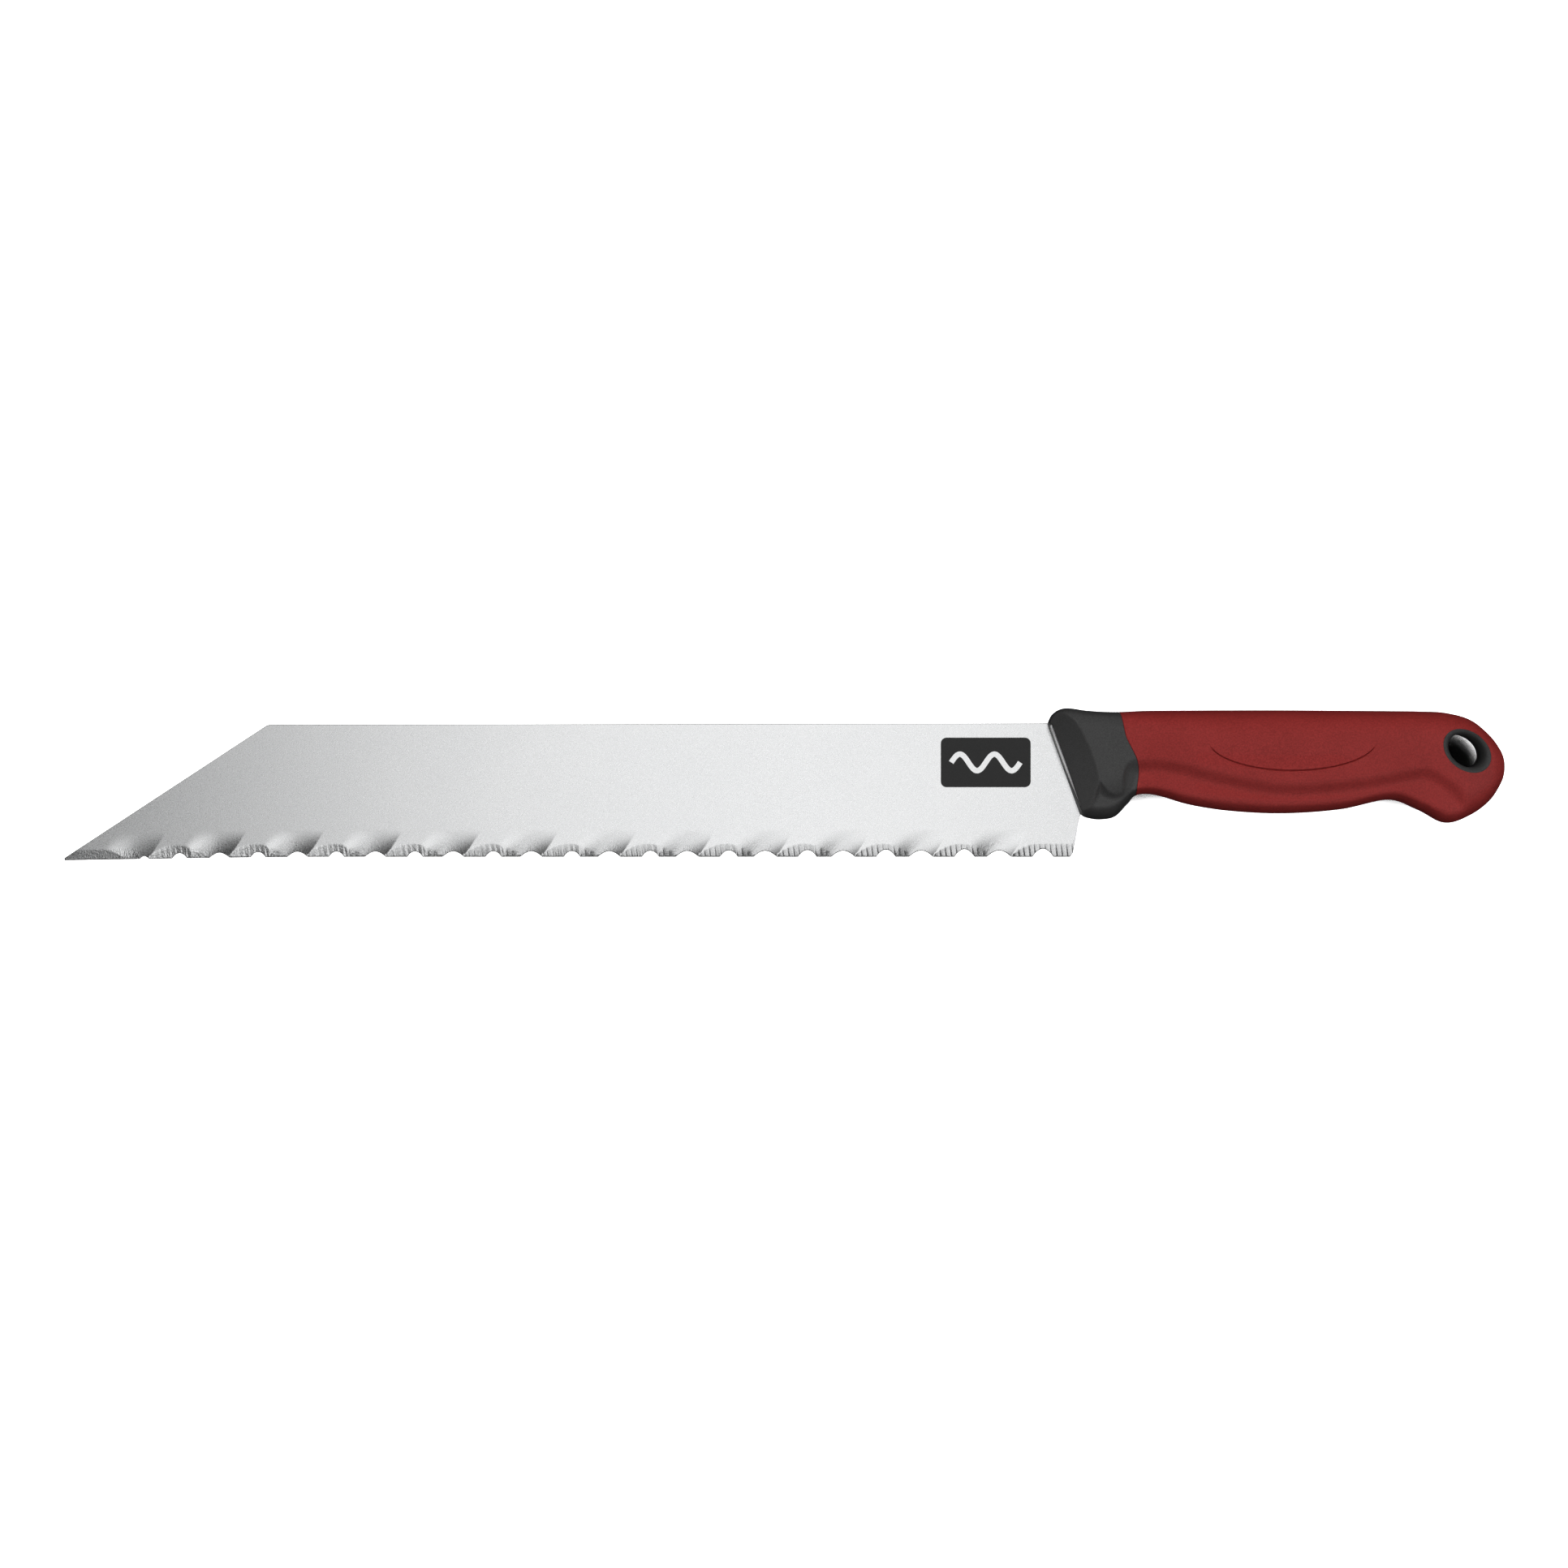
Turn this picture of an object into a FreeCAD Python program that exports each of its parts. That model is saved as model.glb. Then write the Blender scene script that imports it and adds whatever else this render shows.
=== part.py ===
"""Insulation knife with a scalloped, fluted blade and a two-colour moulded handle.

Millimetres. The knife lies on its side: +X runs from the blade's tip to the handle's
butt, +Y from the cutting edge to the spine, and +Z is the thickness, upwards. The origin
is in the middle of the length and height, on the surface that the handle lies on.
"""
import FreeCAD, Part
import math
import os

import Sketcher

SIZES = [
    # blade plate
    ("blade_thickness", 1.5),
    ("tip_x", -200.2),
    ("tip_low_y", -21.3),
    ("tip_high_y", -20.3),
    ("edge_bend_x", -150.0),
    ("edge_y", -20.3),
    ("heel_x", 79.9),
    ("heel_top_x", 82.4),
    ("heel_top_y", -8.6),
    ("nose_x", -143.6),
    ("nose_y", 16.5),
    ("spine_end_x", 80.0),
    ("spine_y", 16.9),
    # tang and the two holes that the core's plastic fills
    ("tang_start_x", 92.0),
    ("tang_end_x", 168.0),
    ("tang_low_y", 1.0),
    ("tang_high_y", 13.0),
    ("tang_corner", 3.0),
    ("plug_radius", 3.0),
    ("plug_x", 110.0),
    ("plug_spacing", 42.0),
    # teeth
    ("tooth_pitch", 21.84),
    ("tooth_count", 12),
    ("first_tooth_x", -168.2),
    ("notch_radius", 2.5),
    ("notch_depth", 1.85),
    ("gullet_offset", 10.6),
    ("gullet_half", 3.1),
    ("gullet_depth", 1.7),
    ("arch_height", 3.9),
    ("arch_depth", 1.35),
    ("arch_radius", 26.0),
    ("tip_bevel_height", 2.9),
    ("tip_bevel_end_x", -179.4),
    ("scoop_height", 6.4),
    ("scoop_depth", 1.0),
    ("scoop_radius", 6.5),
    ("scoop_lean", 12.0),
    ("scoop_offset", 12.1),
    # flutes ground across each tooth's arched bevel
    ("flute_count", 11),
    ("flute_pitch", 1.58),
    ("flute_depth", 0.12),
    # handle
    ("handle_thickness", 24.0),
    ("section_squareness", 3.2),
    ("belly_thinning", 0.16),
    ("pad_rise", 0.5),
    ("front_facet_tilt", 43.0),
    ("front_facet_lean", 23.0),
    ("facet_ridge_x", 86.9),
    ("facet_ridge_y", 3.3),
    ("facet_ridge_z", 10.8),
    ("guard_slope", 35.0),
    ("guard_slope_y", 0.1),
    ("guard_slope_end", 96.5),
    # inner core under the soft cover
    ("core_start_x", 90.0),
    ("core_end_x", 186.0),
    ("core_low_y", 0.0),
    ("core_high_y", 15.0),
    ("core_corner", 4.0),
    ("core_thickness", 15.0),
    # thumb pads
    ("pad_x", 141.1),
    ("pad_y", 10.9),
    ("pad_half_length", 23.3),
    ("pad_half_height", 7.1),
    # hanging eye
    ("eye_x", 189.7),
    ("eye_y", 9.2),
    ("eye_turn", -34.4),
    ("eye_hole_long", 5.4),
    ("eye_hole_short", 3.85),
    ("eye_ring_long", 7.1),
    ("eye_ring_short", 5.1),
]

# The handle's sections: place along the length, top, bottom and half thickness.
SECTIONS = [
    (70.0, 21.2, -9.0, 10.6), (79.0, 21.2, -9.2, 10.9), (87.8, 20.4, -9.9, 11.0),
    (93.5, 20.2, -7.6, 11.1), (100.3, 20.3, -2.9, 11.3), (110.0, 20.4, -5.1, 11.6),
    (123.0, 20.5, -7.4, 11.7), (138.6, 20.5, -8.2, 11.7), (154.4, 20.4, -7.1, 11.7),
    (168.0, 20.3, -4.4, 11.6), (176.5, 20.2, -7.1, 11.4), (183.8, 19.9, -10.8, 11.0),
    (190.6, 17.9, -8.7, 10.2), (195.8, 13.8, -4.9, 8.8), (198.8, 9.9, -0.6, 6.6),
    (200.2, 6.6, 2.8, 3.6),
]
SECTION_POINTS = 16
for number, station in enumerate(SECTIONS, start=1):
    for part_name, size in zip(("place", "top", "bottom", "half"), station):
        SIZES.append((f"section_{number}_{part_name}", size))

# The front's outline where the blade comes out, from the top down.
FRONT_TOP = (77.7, 21.2)
FRONT_CORNER = (74.5, 19.9)
FRONT_SHOULDER = (73.4, 16.9)
FRONT_MIDDLE = (78.0, 5.0)
FRONT_LOW = (82.4, -8.5)

# The line where the black front part meets the red cover.
JOINT_LINE = [(93.3, 22.5), (95.1, 13.5), (98.2, 6.0), (98.2, -3.0), (97.0, -12.0)]


def make_sheet(doc):
    sheet = doc.addObject("Spreadsheet::Sheet", "Sizes")
    for row, (alias, value) in enumerate(SIZES, start=1):
        sheet.set(f"A{row}", alias)
        sheet.set(f"B{row}", str(value))
        sheet.setAlias(f"B{row}", alias)
    doc.recompute()
    return sheet


def bind(thing, **formulas):
    """Bind properties to formulas of the sheet's cells."""
    for name, formula in formulas.items():
        thing.setExpression(name, in_sheet(formula))


def in_sheet(formula):
    """Write the sheet's name before each alias in a formula."""
    words = {alias for alias, value in SIZES}
    parts = formula.replace("(", "( ").replace(")", " )").split()
    return " ".join("Sizes." + word if word in words else word for word in parts)


def new_body(doc, name):
    body = doc.addObject("PartDesign::Body", name)
    body.Label = name
    body.setExpression("Placement.Base.z", "Sizes.handle_thickness / 2")
    return body


def origin_feature(body, role):
    return next(item for item in body.Origin.OriginFeatures if item.Role == role)


def new_sketch(body, name, plane="XY_Plane"):
    sketch = body.newObject("Sketcher::SketchObject", name)
    sketch.AttachmentSupport = [(origin_feature(body, plane), "")]
    sketch.MapMode = "FlatFace"
    return sketch


def value_of(sketch, formula):
    """The present value of a formula of the sheet's cells."""
    sheet = sketch.Document.Sizes
    names = {alias: float(sheet.get(alias)) for alias, value in SIZES}
    total = 0.0
    sign = 1.0
    for word in formula.split():
        if word == "+":
            sign = 1.0
        elif word == "-":
            sign = -1.0
        else:
            total += sign * (names[word] if word in names else float(word))
            sign = 1.0
    return total


def fix_point(sketch, edge, end, x_formula, y_formula):
    """Hold one end of an edge at two formulas, measured from the sketch's origin."""
    for kind, formula in (("DistanceX", x_formula), ("DistanceY", y_formula)):
        value = value_of(sketch, formula)
        index = sketch.addConstraint(Sketcher.Constraint(kind, -1, 1, edge, end, value))
        sketch.setExpression(f"Constraints[{index}]", in_sheet(formula))


def add_polygon(sketch, corners):
    """A closed polygon whose corners are pairs of formulas."""
    points = [FreeCAD.Vector(value_of(sketch, x), value_of(sketch, y), 0) for x, y in corners]
    count = len(points)
    first = sketch.GeometryCount
    for index in range(count):
        sketch.addGeometry(Part.LineSegment(points[index], points[(index + 1) % count]), False)
    for index in range(count):
        following = first + (index + 1) % count
        sketch.addConstraint(Sketcher.Constraint("Coincident", first + index, 2, following, 1))
    for index, (x_formula, y_formula) in enumerate(corners):
        fix_point(sketch, first + index, 1, x_formula, y_formula)


def add_circle(sketch, x_formula, y_formula, radius_formula):
    centre = FreeCAD.Vector(value_of(sketch, x_formula), value_of(sketch, y_formula), 0)
    radius = value_of(sketch, radius_formula)
    edge = sketch.addGeometry(Part.Circle(centre, FreeCAD.Vector(0, 0, 1), radius), False)
    fix_point(sketch, edge, 3, x_formula, y_formula)
    index = sketch.addConstraint(Sketcher.Constraint("Radius", edge, radius))
    sketch.setExpression(f"Constraints[{index}]", in_sheet(radius_formula))
    return edge


def curve_through(points):
    """An open smooth curve through points given as pairs."""
    curve = Part.BSplineCurve()
    curve.interpolate([FreeCAD.Vector(x, y, 0) for x, y in points])
    return curve


def add_chain(sketch, runs):
    """A closed outline: each run of points is a line if it has two, else a smooth curve."""
    first = sketch.GeometryCount
    for run in runs:
        if len(run) == 2:
            ends = [FreeCAD.Vector(x, y, 0) for x, y in run]
            sketch.addGeometry(Part.LineSegment(*ends), False)
        else:
            sketch.addGeometry(curve_through(run), False)
    for index in range(len(runs)):
        following = first + (index + 1) % len(runs)
        sketch.addConstraint(Sketcher.Constraint("Coincident", first + index, 2, following, 1))


def add_pad(body, name, sketch, length_formula, symmetric=True):
    pad = body.newObject("PartDesign::Pad", name)
    pad.Profile = sketch
    pad.Midplane = symmetric
    bind(pad, Length=length_formula)
    return pad


def add_through_pocket(body, name, sketch):
    pocket = body.newObject("PartDesign::Pocket", name)
    pocket.Profile = sketch
    pocket.Type = "ThroughAll"
    pocket.Midplane = True
    return pocket


def add_row(body, name, originals, count_formula, pitch_formula):
    """Repeat features along X and make the row the body's tip."""
    row = body.newObject("PartDesign::LinearPattern", name)
    row.Originals = originals
    row.Direction = (origin_feature(body, "X_Axis"), [""])
    row.Mode = "Spacing"
    bind(row, Occurrences=count_formula, Offset=pitch_formula)
    body.Tip = row
    return row


def read(sheet, alias):
    return float(sheet.get(alias))


def blade_outline(body):
    sketch = new_sketch(body, "BladeOutline")
    add_polygon(sketch, [
        ("tip_x", "tip_low_y"),
        ("edge_bend_x", "edge_y"),
        ("heel_x", "edge_y"),
        ("heel_top_x", "heel_top_y"),
        ("heel_top_x + 2", "tang_low_y - 3"),
        ("tang_start_x", "tang_low_y"),
        ("tang_end_x - tang_corner", "tang_low_y"),
        ("tang_end_x", "tang_low_y + tang_corner"),
        ("tang_end_x", "tang_high_y - tang_corner"),
        ("tang_end_x - tang_corner", "tang_high_y"),
        ("tang_start_x", "tang_high_y"),
        ("spine_end_x", "spine_y"),
        ("nose_x", "nose_y"),
        ("tip_x", "tip_high_y"),
    ])
    return sketch


def add_flute_wave(sketch, sheet):
    """Side by side flutes on a hollow arc, closed above: the outline of a grinding wheel."""
    count = int(read(sheet, "flute_count"))
    pitch = read(sheet, "flute_pitch")
    sag = read(sheet, "flute_depth")
    hollow = 2 * read(sheet, "arch_radius")
    clear = 5.0
    crests = []
    for index in range(count + 1):
        x = (index - count / 2) * pitch
        crests.append(FreeCAD.Vector(x, x * x / hollow, 0))
    for left, right in zip(crests, crests[1:]):
        bottom = (left + right) / 2 - FreeCAD.Vector(0, sag, 0)
        sketch.addGeometry(Part.Arc(left, bottom, right), False)
    high_right = FreeCAD.Vector(crests[-1].x, clear, 0)
    high_left = FreeCAD.Vector(crests[0].x, clear, 0)
    sketch.addGeometry(Part.LineSegment(crests[-1], high_right), False)
    sketch.addGeometry(Part.LineSegment(high_right, high_left), False)
    sketch.addGeometry(Part.LineSegment(high_left, crests[0]), False)


def cut_block(body, name, corner, x_axis, y_axis, sizes):
    """Cut a turned block away: one corner, the directions of two sides and three lengths."""
    block = body.newObject("PartDesign::SubtractiveBox", name)
    block.Length, block.Width, block.Height = sizes
    turn = FreeCAD.Rotation(x_axis, y_axis, x_axis.cross(y_axis), "XYZ")
    block.Placement = FreeCAD.Placement(corner, turn)
    return block


def grind_tip(body, sheet):
    """The plain bevel between the tip and the first arch."""
    height = read(sheet, "tip_bevel_height")
    slope = math.atan2(read(sheet, "arch_depth"), height)
    rise = read(sheet, "edge_y") - read(sheet, "tip_low_y")
    run = read(sheet, "edge_bend_x") - read(sheet, "tip_x")
    towards_tip = FreeCAD.Vector(-run, -rise, 0).normalize()
    down_slope = FreeCAD.Vector(0, -math.cos(slope), -math.sin(slope))
    end_x = read(sheet, "tip_bevel_end_x")
    edge_there = read(sheet, "tip_low_y") + rise * (end_x - read(sheet, "tip_x")) / run
    corner = FreeCAD.Vector(end_x, edge_there + height, read(sheet, "blade_thickness") / 2)
    length = end_x - read(sheet, "tip_x") + height
    cut_block(body, "TipBevel", corner, towards_tip, down_slope, (length, 2 * height, height))


def grind_arches(body, sheet):
    """One arched, fluted bevel for each tooth, deepest at the cutting edge."""
    slope = math.degrees(math.atan2(read(sheet, "arch_depth"), read(sheet, "arch_height")))
    wave = new_sketch(body, "FluteWave", "XZ_Plane")
    wave.AttachmentOffset = FreeCAD.Placement(
        FreeCAD.Vector(0, 0, 0), FreeCAD.Rotation(FreeCAD.Vector(1, 0, 0), slope))
    bind(wave, **{
        "AttachmentOffset.Base.x": "first_tooth_x",
        "AttachmentOffset.Base.y": "blade_thickness / 2",
        "AttachmentOffset.Base.z": "0 - edge_y - arch_height",
    })
    add_flute_wave(wave, sheet)
    arch = body.newObject("PartDesign::Pocket", "FlutedArch")
    arch.Profile = wave
    arch.Midplane = True
    bind(arch, Length="6 * arch_height")
    add_row(body, "FlutedArches", [arch], "tooth_count", "tooth_pitch")


def grind_scoops(body, sheet):
    """The leaning hollows that run up the blade from each gullet."""
    radius = read(sheet, "scoop_radius")
    height = read(sheet, "scoop_height")
    slope = math.degrees(math.atan2(read(sheet, "scoop_depth"), height))
    lean = FreeCAD.Rotation(FreeCAD.Vector(0, 0, 1), -read(sheet, "scoop_lean"))
    turn = lean.multiply(FreeCAD.Rotation(FreeCAD.Vector(1, 0, 0), slope - 90))
    cutter = body.newObject("PartDesign::SubtractiveCylinder", "Scoop")
    bind(cutter, Radius="scoop_radius", Height="3 * scoop_height")
    upwards = turn.multVec(FreeCAD.Vector(0, -radius, 0))
    half_axis = turn.multVec(FreeCAD.Vector(0, 0, 1.5 * height))
    exit_point = FreeCAD.Vector(
        read(sheet, "first_tooth_x") + read(sheet, "scoop_offset"),
        read(sheet, "edge_y") + height,
        read(sheet, "blade_thickness") / 2)
    cutter.Placement = FreeCAD.Placement(exit_point + upwards - half_axis, turn)
    add_row(body, "Scoops", [cutter], "tooth_count - 1", "tooth_pitch")


def cut_notches(body):
    """The round notch in the middle of each tooth and the gullet between two teeth."""
    notch = new_sketch(body, "NotchCircle")
    add_circle(notch, "first_tooth_x", "edge_y + notch_depth - notch_radius", "notch_radius")
    notches = add_through_pocket(body, "Notch", notch)
    add_row(body, "Notches", [notches], "tooth_count", "tooth_pitch")

    gullet = new_sketch(body, "GulletProfile")
    add_polygon(gullet, [
        ("first_tooth_x + gullet_offset - gullet_half", "edge_y - 2"),
        ("first_tooth_x + gullet_offset - gullet_half", "edge_y"),
        ("first_tooth_x + gullet_offset - gullet_half + 1", "edge_y + gullet_depth"),
        ("first_tooth_x + gullet_offset + 0.5", "edge_y + gullet_depth"),
        ("first_tooth_x + gullet_offset + gullet_half", "edge_y - 0.5"),
        ("first_tooth_x + gullet_offset + gullet_half", "edge_y - 2"),
    ])
    gullets = add_through_pocket(body, "Gullet", gullet)
    add_row(body, "Gullets", [gullets], "tooth_count - 1", "tooth_pitch")


def make_blade(doc, sheet):
    body = new_body(doc, "blade")
    add_pad(body, "BladePlate", blade_outline(body), "blade_thickness")
    holes = new_sketch(body, "PlugHole")
    add_circle(holes, "plug_x", "tang_low_y + 6", "plug_radius")
    plug = add_through_pocket(body, "PlugHolePocket", holes)
    add_row(body, "PlugHoles", [plug], "2", "plug_spacing")
    grind_tip(body, sheet)
    grind_arches(body, sheet)
    grind_scoops(body, sheet)
    cut_notches(body)
    return body


def section_curve(sheet, number, extra):
    """A closed rounded section, squarer than an ellipse and thinner towards the belly."""
    top = read(sheet, f"section_{number}_top")
    bottom = read(sheet, f"section_{number}_bottom")
    half_thickness = read(sheet, f"section_{number}_half") + extra
    power = 2 / read(sheet, "section_squareness")
    middle = (top + bottom) / 2
    half_height = (top - bottom) / 2
    points = []
    for index in range(SECTION_POINTS):
        angle = 2 * math.pi * index / SECTION_POINTS
        across = math.copysign(abs(math.cos(angle)) ** power, math.cos(angle))
        rise = math.copysign(abs(math.sin(angle)) ** power, math.sin(angle))
        width = half_thickness * (1 - read(sheet, "belly_thinning") * max(0.0, -rise))
        points.append(FreeCAD.Vector(middle + half_height * rise, width * across, 0))
    curve = Part.BSplineCurve()
    curve.interpolate(points, PeriodicFlag=True)
    return curve


def loft_handle(body, sheet, extra=0.0):
    """The handle's whole outer shape, extra thicker on each side."""
    sketches = []
    for number in range(1, len(SECTIONS) + 1):
        sketch = new_sketch(body, f"{body.Name}Section{number:02d}", "YZ_Plane")
        sketch.setExpression("AttachmentOffset.Base.z", f"Sizes.section_{number}_place")
        sketch.addGeometry(section_curve(sheet, number, extra), False)
        sketches.append(sketch)
    loft = body.newObject("PartDesign::AdditiveLoft", body.Name + "Loft")
    loft.Profile = sketches[0]
    loft.Sections = sketches[1:]


def trim_front(body):
    """Cut the handle's front along the slanted line where the blade comes out."""
    trim = new_sketch(body, "FrontOutline")
    add_chain(trim, [
        [(60.0, 30.0), FRONT_TOP],
        [FRONT_TOP, FRONT_CORNER, FRONT_SHOULDER],
        [FRONT_SHOULDER, FRONT_MIDDLE, FRONT_LOW],
        [FRONT_LOW, (80.0, -20.0)],
        [(80.0, -20.0), (60.0, -20.0)],
        [(60.0, -20.0), (60.0, 30.0)],
    ])
    add_through_pocket(body, "FrontTrim", trim)


def cut_both_sides(body, name, corner, x_axis, y_axis, sizes):
    """Take a turned block off the upper side and its mirror image off the lower side."""
    block = cut_block(body, name, corner, x_axis, y_axis, sizes)
    mirror = body.newObject("PartDesign::Mirrored", name + "Mirrored")
    mirror.Originals = [block]
    mirror.MirrorPlane = (origin_feature(body, "XY_Plane"), [""])
    body.Tip = mirror


def cut_front_facets(body, sheet):
    """The sloping facets between the blade and the ridge of the front part."""
    lean = math.radians(read(sheet, "front_facet_lean"))
    tilt = math.radians(read(sheet, "front_facet_tilt"))
    along_ridge = FreeCAD.Vector(-math.sin(lean), math.cos(lean), 0)
    forward = FreeCAD.Vector(-math.cos(lean), -math.sin(lean), 0)
    down_slope = forward * math.cos(tilt) - FreeCAD.Vector(0, 0, math.sin(tilt))
    ridge = FreeCAD.Vector(
        read(sheet, "facet_ridge_x"), read(sheet, "facet_ridge_y"), read(sheet, "facet_ridge_z"))
    reach = 40
    corner = ridge - along_ridge * reach
    cut_both_sides(body, "FrontFacet", corner, along_ridge, down_slope, (2 * reach, 30, 30))


def cut_guard_slopes(body, sheet):
    """The finger guard falls away below the front part's flat side."""
    slope = math.radians(read(sheet, "guard_slope"))
    down_slope = FreeCAD.Vector(0, -math.cos(slope), -math.sin(slope))
    backward = FreeCAD.Vector(-1, 0, 0)
    corner = FreeCAD.Vector(
        read(sheet, "guard_slope_end"), read(sheet, "guard_slope_y"), read(sheet, "facet_ridge_z"))
    cut_both_sides(body, "GuardSlope", corner, backward, down_slope, (40, 30, 30))


def make_envelope(doc, sheet):
    body = new_body(doc, "HandleEnvelope")
    loft_handle(body, sheet)
    trim_front(body)
    cut_front_facets(body, sheet)
    cut_guard_slopes(body, sheet)
    return body


def make_front_zone(doc):
    """The space in front of the line where the two handle colours meet."""
    body = new_body(doc, "FrontZone")
    sketch = new_sketch(body, "FrontZoneOutline")
    add_chain(sketch, [
        JOINT_LINE,
        [JOINT_LINE[-1], (60.0, -12.0)],
        [(60.0, -12.0), (60.0, 22.5)],
        [(60.0, 22.5), JOINT_LINE[0]],
    ])
    add_pad(body, "FrontZonePad", sketch, "handle_thickness + 4")
    return body


def make_inner_core(doc):
    """The stiff bar that is moulded round the tang."""
    body = new_body(doc, "InnerCore")
    sketch = new_sketch(body, "CoreOutline")
    add_polygon(sketch, [
        ("core_start_x", "core_low_y"),
        ("core_end_x - core_corner", "core_low_y"),
        ("core_end_x", "core_low_y + core_corner"),
        ("core_end_x", "core_high_y - core_corner"),
        ("core_end_x - core_corner", "core_high_y"),
        ("core_start_x", "core_high_y"),
    ])
    add_pad(body, "CorePad", sketch, "core_thickness")
    return body


def make_oval(doc, name, place, long_alias, short_alias, turn_alias=None,
              thickness="handle_thickness + 4"):
    """An upright oval prism, as a rule thicker than the whole handle."""
    body = new_body(doc, name)
    sheet = doc.Sizes
    sketch = new_sketch(body, name + "Outline")
    centre = FreeCAD.Vector(*[read(sheet, alias) for alias in place], 0)
    turn = math.radians(read(sheet, turn_alias)) if turn_alias else 0.0
    long_axis = FreeCAD.Vector(math.cos(turn), math.sin(turn), 0)
    short_axis = FreeCAD.Vector(-math.sin(turn), math.cos(turn), 0)
    long_end = centre + long_axis * read(sheet, long_alias)
    short_end = centre + short_axis * read(sheet, short_alias)
    sketch.addGeometry(Part.Ellipse(long_end, short_end, centre), False)
    add_pad(body, name + "Pad", sketch, thickness)
    return body


def join(doc, kind, name, shapes):
    """A Part boolean of two or more shapes."""
    result = doc.addObject(kind, name)
    result.Label = name
    if kind == "Part::Cut":
        result.Base, result.Tool = shapes
    else:
        result.Shapes = shapes
    return result


def make_thumb_pads(doc, sheet):
    """Slightly raised ovals that follow the handle's sides."""
    thicker = new_body(doc, "ThickerHandle")
    loft_handle(thicker, sheet, extra=read(sheet, "pad_rise"))
    oval = make_oval(doc, "ThumbOval", ("pad_x", "pad_y"), "pad_half_length", "pad_half_height",
                     thickness="handle_thickness")
    return join(doc, "Part::MultiCommon", "ThumbPads", [thicker, oval])


def make_handle(doc, sheet, blade):
    """The black core with the front part and the eye's ring, and the red cover round it."""
    envelope = make_envelope(doc, sheet)
    front_zone = make_front_zone(doc)
    inner_core = make_inner_core(doc)
    eye = ("eye_x", "eye_y")
    ring = make_oval(doc, "EyeRing", eye, "eye_ring_long", "eye_ring_short", "eye_turn")
    hole = make_oval(doc, "EyeHole", eye, "eye_hole_long", "eye_hole_short", "eye_turn")
    pads = make_thumb_pads(doc, sheet)

    front_part = join(doc, "Part::MultiCommon", "FrontPart", [envelope, front_zone])
    ring_in_handle = join(doc, "Part::MultiCommon", "RingInHandle", [envelope, ring])
    core_blank = join(doc, "Part::MultiFuse", "CoreBlank", [front_part, inner_core, ring_in_handle])
    blade_and_hole = join(doc, "Part::MultiFuse", "BladeAndHole", [blade, hole])
    core = join(doc, "Part::Cut", "handle_core", [core_blank, blade_and_hole])

    whole_cover = join(doc, "Part::MultiFuse", "WholeCover", [envelope, pads])
    inside = join(doc, "Part::MultiFuse", "CoverInside", [front_zone, inner_core, ring])
    cover = join(doc, "Part::Cut", "grip_cover", [whole_cover, inside])
    return core, cover


def check(doc, nodes):
    """Stop if any object failed or any sub-part is missing, invalid or in several pieces."""
    for item in doc.Objects:
        if "Invalid" in item.State or "Error" in item.State:
            raise RuntimeError(f"{item.Name} failed: {item.State}")
    for node in nodes:
        if node.Shape.isNull() or not node.Shape.isValid():
            raise RuntimeError(f"{node.Label} has no valid shape")
        if len(node.Shape.Solids) != 1:
            raise RuntimeError(f"{node.Label} is {len(node.Shape.Solids)} solids")


def main():
    doc = FreeCAD.newDocument("InsulationKnife")
    sheet = make_sheet(doc)
    blade = make_blade(doc, sheet)
    core, cover = make_handle(doc, sheet, blade)
    doc.recompute()
    nodes = [blade, core, cover]
    check(doc, nodes)
    os.makedirs("parts", exist_ok=True)
    for node in nodes:
        node.Shape.exportStep(f"parts/{node.Label}.step")
        box = node.Shape.optimalBoundingBox()
        print(node.Label, round(node.Shape.Volume), box)


main()
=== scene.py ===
"""Looks of an insulation knife: ground steel blade, black front part, red cover and hanging eye.

Metres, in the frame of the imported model: +X from the blade's tip to the handle's butt, +Y from
the cutting edge to the spine, +Z the thickness, up. Shapes are worked out in millimetres from
the model's mid-plane and scaled when the mesh is made.
"""

import math

import bmesh
import bpy
import numpy as np
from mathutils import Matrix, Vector
from mathutils.bvhtree import BVHTree


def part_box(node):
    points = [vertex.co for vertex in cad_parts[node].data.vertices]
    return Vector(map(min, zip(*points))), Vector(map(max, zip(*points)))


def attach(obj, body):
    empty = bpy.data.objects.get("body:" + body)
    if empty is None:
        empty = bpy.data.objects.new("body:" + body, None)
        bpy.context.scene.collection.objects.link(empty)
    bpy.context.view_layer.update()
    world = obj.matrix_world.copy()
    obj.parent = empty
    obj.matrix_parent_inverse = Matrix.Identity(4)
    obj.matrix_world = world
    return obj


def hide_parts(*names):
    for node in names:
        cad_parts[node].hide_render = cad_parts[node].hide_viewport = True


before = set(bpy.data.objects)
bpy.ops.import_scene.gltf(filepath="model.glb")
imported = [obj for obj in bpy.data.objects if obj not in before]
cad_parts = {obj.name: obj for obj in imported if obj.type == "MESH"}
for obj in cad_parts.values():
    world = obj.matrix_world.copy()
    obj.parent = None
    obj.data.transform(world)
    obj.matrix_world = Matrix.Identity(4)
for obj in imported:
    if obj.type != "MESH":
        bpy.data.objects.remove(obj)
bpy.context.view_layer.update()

MM = 0.001

# Where things are, in millimetres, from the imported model's own boxes.
blade_low, blade_high = [np.array(corner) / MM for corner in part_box("blade")]
cover_high = np.array(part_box("grip_cover")[1]) / MM
MID_HEIGHT = (blade_low[2] + blade_high[2]) / 2
HALF_BLADE = (blade_high[2] - blade_low[2]) / 2
TIP_X = blade_low[0]
TIP_LOW_Y = blade_low[1]
SPINE_Y = blade_high[1]
BUTT_X = cover_high[0]

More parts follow.
